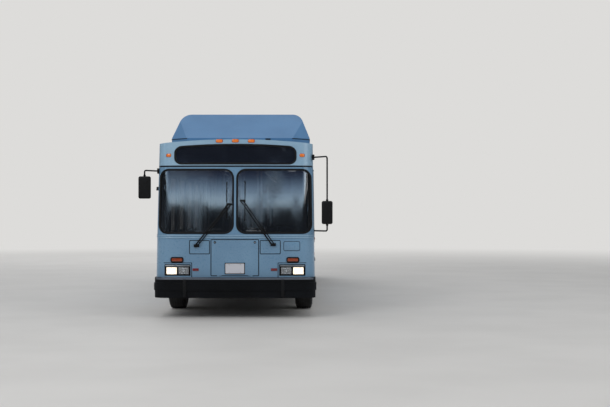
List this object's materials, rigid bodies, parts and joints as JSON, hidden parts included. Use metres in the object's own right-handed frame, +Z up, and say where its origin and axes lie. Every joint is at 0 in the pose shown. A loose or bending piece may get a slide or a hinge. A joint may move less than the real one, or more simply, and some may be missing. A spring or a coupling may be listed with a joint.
{
  "type": "low-floor city bus",
  "caption": "Twelve-metre low-floor city bus with a gas-tank pod on the roof, hinged doors and hatches, steered front wheels and twin rear wheels.",
  "frame": {"origin": "on the road under the middle of the bus", "axes": "+Z up, +Y along the bus towards its rear, so the front faces -Y; +X to the driver's side"},
  "size_m": [3.15, 12.47, 3.4598],
  "materials": {
    "body_paint": "satin",
    "pod_paint": "satin",
    "dark_glass": "gloss",
    "tinted_glass": "gloss",
    "clear_glass": "gloss",
    "black_frame": "satin",
    "lamp_chrome": "gloss",
    "amber_lens": "gloss",
    "red_lens": "gloss",
    "black_rubber": "matte",
    "floor_rubber": "matte",
    "inner_panel": "matte",
    "axle_iron": "matte",
    "bellows_rubber": "matte",
    "frame_paint": "matte",
    "engine_paint": "satin",
    "black_plastic": "matte",
    "mirror_face": "gloss",
    "wiper_metal": "satin",
    "dark_plastic": "matte",
    "seat_fabric": "matte",
    "steel_rail": "brushed",
    "tyre_black": "matte",
    "wheel_silver": "satin"
  },
  "bodies": {
    "bus": {"front_mask": "body_paint", "front_header": "body_paint", "front_glass": "dark_glass", "wall_left": "body_paint", "wall_right_mid": "body_paint", "wall_right_rear": "body_paint", "window_frames": "black_frame", "window_panes": "tinted_glass", "roof": "body_paint", "roof_fairing": "pod_paint", "rear_wall": "body_paint", "grilles": "black_frame", "headlamps": "lamp_chrome", "headlamp_lenses": "clear_glass", "marker_lamps": "amber_lens", "tail_lamps": "red_lens", "bumpers": "black_rubber", "floor": "floor_rubber", "wheel_boxes": "inner_panel", "axles": "axle_iron", "air_springs": "bellows_rubber", "underframe": "frame_paint", "engine": "engine_paint", "mirrors": "black_plastic", "mirror_glass": "mirror_face", "wipers": "wiper_metal", "dashboard": "dark_plastic", "seats": "seat_fabric", "grab_rails": "steel_rail"},
    "front_hatch": {"front_hatch": "body_paint"},
    "engine_door": {"engine_door": "body_paint"},
    "front_door_fore": {"front_door_fore": "black_frame", "front_door_fore_glass": "tinted_glass"},
    "front_door_aft": {"front_door_aft": "black_frame", "front_door_aft_glass": "tinted_glass"},
    "rear_door_fore": {"rear_door_fore": "black_frame", "rear_door_fore_glass": "tinted_glass"},
    "rear_door_aft": {"rear_door_aft": "black_frame", "rear_door_aft_glass": "tinted_glass"},
    "knuckle_left": {"knuckle_left": "axle_iron"},
    "knuckle_right": {"knuckle_right": "axle_iron"},
    "tie_rod": {"tie_rod": "axle_iron"},
    "wheel_fl": {"tyre_fl": "tyre_black", "rim_fl": "wheel_silver"},
    "wheel_fr": {"tyre_fr": "tyre_black", "rim_fr": "wheel_silver"},
    "wheel_rl": {"tyres_rl": "tyre_black", "rims_rl": "wheel_silver"},
    "wheel_rr": {"tyres_rr": "tyre_black", "rims_rr": "wheel_silver"}
  },
  "joints": [
    {"name": "steer_left", "type": "hinge", "parent": "bus", "child": "knuckle_left", "pos_m": [0.9245, -4.115, 0.53], "axis": [0, 0, 1], "range_deg": [-45, 45]},
    {"name": "steer_right", "type": "hinge", "parent": "bus", "child": "knuckle_right", "pos_m": [-0.9245, -4.115, 0.53], "axis": [0, 0, 1], "range_deg": [-45, 45]},
    {"name": "tie_rod_pivot", "type": "hinge", "parent": "knuckle_left", "child": "tie_rod", "pos_m": [0.9245, -3.915, 0.283], "axis": [0, 0, 1], "range_deg": [-45, 45]},
    {"name": "spin_front_left", "type": "hinge", "parent": "knuckle_left", "child": "wheel_fl", "pos_m": [1.1095, -4.115, 0.53], "axis": [1, 0, 0], "continuous": true},
    {"name": "spin_front_right", "type": "hinge", "parent": "knuckle_right", "child": "wheel_fr", "pos_m": [-1.1095, -4.115, 0.53], "axis": [1, 0, 0], "continuous": true},
    {"name": "spin_rear_left", "type": "hinge", "parent": "bus", "child": "wheel_rl", "pos_m": [1.1095, 3.325, 0.53], "axis": [1, 0, 0], "continuous": true},
    {"name": "spin_rear_right", "type": "hinge", "parent": "bus", "child": "wheel_rr", "pos_m": [-1.1095, 3.325, 0.53], "axis": [1, 0, 0], "continuous": true},
    {"name": "front_door_open", "type": "hinge", "parent": "bus", "child": "front_door_fore", "pos_m": [-1.307, -5.68, 1.4], "axis": [0, 0, 1], "range_deg": [0, 88]},
    {"name": "front_door_open_aft", "type": "hinge", "parent": "bus", "child": "front_door_aft", "pos_m": [-1.307, -4.82, 1.4], "axis": [0, 0, 1], "range_deg": [-88, 0]},
    {"name": "rear_door_open", "type": "hinge", "parent": "bus", "child": "rear_door_fore", "pos_m": [-1.307, 1.45, 1.4], "axis": [0, 0, 1], "range_deg": [0, 88]},
    {"name": "rear_door_open_aft", "type": "hinge", "parent": "bus", "child": "rear_door_aft", "pos_m": [-1.307, 2.55, 1.4], "axis": [0, 0, 1], "range_deg": [-88, 0]},
    {"name": "front_hatch_open", "type": "hinge", "parent": "bus", "child": "front_hatch", "pos_m": [0, -6.113, 0.684], "axis": [1, 0, 0], "range_deg": [0, 90]},
    {"name": "engine_door_open", "type": "hinge", "parent": "bus", "child": "engine_door", "pos_m": [0, 6.113, 1.64], "axis": [1, 0, 0], "range_deg": [0, 75]}
  ],
  "couplings": [
    {"joint": "steer_right", "follows": "steer_left", "ratio": 1},
    {"joint": "tie_rod_pivot", "follows": "steer_left", "ratio": -1},
    {"joint": "front_door_open_aft", "follows": "front_door_open", "ratio": -1},
    {"joint": "rear_door_open_aft", "follows": "rear_door_open", "ratio": -1}
  ]
}
